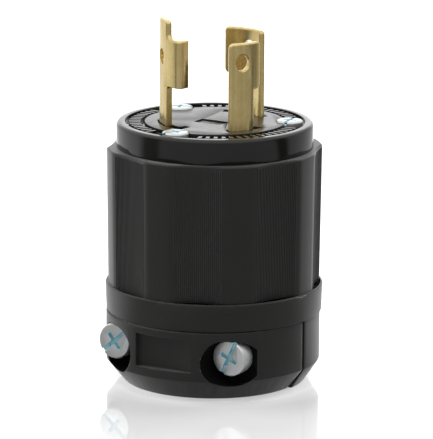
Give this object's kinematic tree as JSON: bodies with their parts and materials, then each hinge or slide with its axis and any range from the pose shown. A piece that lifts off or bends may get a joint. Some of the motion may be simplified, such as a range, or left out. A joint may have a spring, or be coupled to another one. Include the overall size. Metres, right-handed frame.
{
  "type": "locking power plug",
  "caption": "Round locking power plug with hooked brass blades, a scalloped black housing and a screw-tightened cord clamp.",
  "frame": {"origin": "on the plug's axis, in the flat plane of the cord end that it stands on", "axes": "+Z along the plug's axis towards the blades, -Y towards the clamp jaw and the heads of its screws"},
  "size_m": [0.053, 0.0532, 0.0893],
  "materials": {
    "gloss_nylon": "glossy black moulded nylon",
    "matte_nylon": "matte black moulded nylon",
    "brass": "satin stamped brass",
    "plated_steel": "bright zinc-plated steel",
    "green_screw": "green-dyed plated steel"
  },
  "bodies": {
    "plug": {"front_body": "gloss_nylon", "blade_retainer": "matte_nylon", "housing": "matte_nylon", "cord_grip_housing": "matte_nylon", "hot_blade": "brass", "neutral_blade": "brass", "ground_blade": "brass", "hot_terminal_nut": "brass", "neutral_terminal_nut": "brass", "ground_terminal_nut": "brass", "hot_pressure_plate": "brass", "neutral_pressure_plate": "plated_steel", "ground_pressure_plate": "brass", "hot_terminal_screw": "brass", "neutral_terminal_screw": "plated_steel", "ground_terminal_screw": "green_screw", "assembly_screw_1": "plated_steel", "assembly_screw_2": "plated_steel", "assembly_screw_3": "plated_steel", "assembly_insert_1": "brass", "assembly_insert_2": "brass", "assembly_insert_3": "brass", "clamp_insert_left": "brass", "clamp_insert_right": "brass"},
    "jaw": {"clamp_jaw": "matte_nylon", "clamp_screw_left": "plated_steel", "clamp_screw_right": "plated_steel"}
  },
  "joints": [
    {"name": "jaw_slide", "type": "slide", "parent": "plug", "child": "jaw", "axis": [0, -1, 0], "range_m": [-0.0007, 0.005]}
  ]
}
